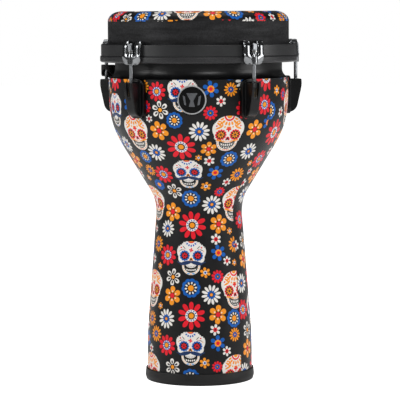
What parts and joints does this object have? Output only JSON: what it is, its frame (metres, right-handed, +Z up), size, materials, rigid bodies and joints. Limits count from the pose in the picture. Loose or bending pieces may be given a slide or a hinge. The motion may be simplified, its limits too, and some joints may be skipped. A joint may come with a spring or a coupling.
{
  "type": "djembe",
  "caption": "Goblet hand drum with a printed cloth shell, deep-collared head, black hoops, chrome claw hooks on key-tuned rods, lugs, rubber foot ring and short carry strap.",
  "frame": {"origin": "centre of the drum's axis at floor level, under the foot ring", "axes": "+Z up along the drum's axis, the badge faces -Y, +X to the right seen from the front"},
  "size_m": [0.2894, 0.2889, 0.521],
  "materials": {
    "shell_plastic": "smooth satin black moulded synthetic shell",
    "printed_cloth": "charcoal woven cloth printed all over with folk skulls and flowers",
    "foot_rubber": "black rubber, slightly satin",
    "printed_film": "polyester film with the same printed cloth laminated to it",
    "collar_cloth": "black stiffened polyester cloth",
    "hoop_cloth": "aluminium hoop under a textured black covering",
    "hoop_paint": "satin black powder coat on steel strip",
    "chrome": "polished chrome plate on die-cast zinc",
    "rod_steel": "zinc-plated steel",
    "lug_plastic": "black glass-filled nylon with a faint sheen",
    "nut_brass": "plain brass",
    "badge_enamel": "glossy black enamel",
    "badge_relief": "dark chrome relief",
    "badge_metal": "bright turned rim",
    "webbing": "black nylon webbing",
    "buckle_plastic": "black acetal"
  },
  "bodies": {
    "drum": {"shell_stem": "shell_plastic", "shell_bowl": "shell_plastic", "shell_neck": "shell_plastic", "cloth_wrap": "printed_cloth", "foot_ring": "foot_rubber", "head_film": "printed_film", "head_collar": "collar_cloth", "lug_1": "lug_plastic", "lug_2": "lug_plastic", "lug_3": "lug_plastic", "lug_4": "lug_plastic", "lug_5": "lug_plastic", "lug_nut_1": "nut_brass", "lug_nut_2": "nut_brass", "lug_nut_3": "nut_brass", "lug_nut_4": "nut_brass", "lug_nut_5": "nut_brass", "lug_screws_1": "rod_steel", "lug_screws_2": "rod_steel", "lug_screws_3": "rod_steel", "lug_screws_4": "rod_steel", "lug_screws_5": "rod_steel", "badge_plate": "badge_enamel", "badge_emblem": "badge_relief", "badge_ring": "badge_metal", "strap": "webbing", "strap_buckle": "buckle_plastic"},
    "hoops": {"flesh_hoop": "hoop_cloth", "rim_band": "hoop_paint", "claw_1": "chrome", "claw_2": "chrome", "claw_3": "chrome", "claw_4": "chrome", "claw_5": "chrome", "rod_washer_1": "rod_steel", "rod_washer_2": "rod_steel", "rod_washer_3": "rod_steel", "rod_washer_4": "rod_steel", "rod_washer_5": "rod_steel"},
    "rod_1": {"tension_rod_1": "rod_steel"},
    "rod_2": {"tension_rod_2": "rod_steel"},
    "rod_3": {"tension_rod_3": "rod_steel"},
    "rod_4": {"tension_rod_4": "rod_steel"},
    "rod_5": {"tension_rod_5": "rod_steel"}
  },
  "joints": [
    {"name": "head_tension", "type": "slide", "parent": "drum", "child": "hoops", "axis": [0, 0, -1], "range_m": [-0.004, 0.003]},
    {"name": "rod_turn_1", "type": "hinge", "parent": "hoops", "child": "rod_1", "pos_m": [0.08376, -0.11528, 0.467], "axis": [0, 0, -1], "range_deg": [-1375, 1035]},
    {"name": "rod_turn_2", "type": "hinge", "parent": "hoops", "child": "rod_2", "pos_m": [0.13553, 0.04403, 0.467], "axis": [0, 0, -1], "range_deg": [-1375, 1035]},
    {"name": "rod_turn_3", "type": "hinge", "parent": "hoops", "child": "rod_3", "pos_m": [0, 0.1425, 0.467], "axis": [0, 0, -1], "range_deg": [-1375, 1035]},
    {"name": "rod_turn_4", "type": "hinge", "parent": "hoops", "child": "rod_4", "pos_m": [-0.13553, 0.04403, 0.467], "axis": [0, 0, -1], "range_deg": [-1375, 1035]},
    {"name": "rod_turn_5", "type": "hinge", "parent": "hoops", "child": "rod_5", "pos_m": [-0.08376, -0.11528, 0.467], "axis": [0, 0, -1], "range_deg": [-1375, 1035]}
  ],
  "couplings": [
    {"joint": "rod_turn_1", "follows": "head_tension", "rad_per_m": 5938.7},
    {"joint": "rod_turn_2", "follows": "head_tension", "rad_per_m": 5938.7},
    {"joint": "rod_turn_3", "follows": "head_tension", "rad_per_m": 5938.7},
    {"joint": "rod_turn_4", "follows": "head_tension", "rad_per_m": 5938.7},
    {"joint": "rod_turn_5", "follows": "head_tension", "rad_per_m": 5938.7}
  ]
}
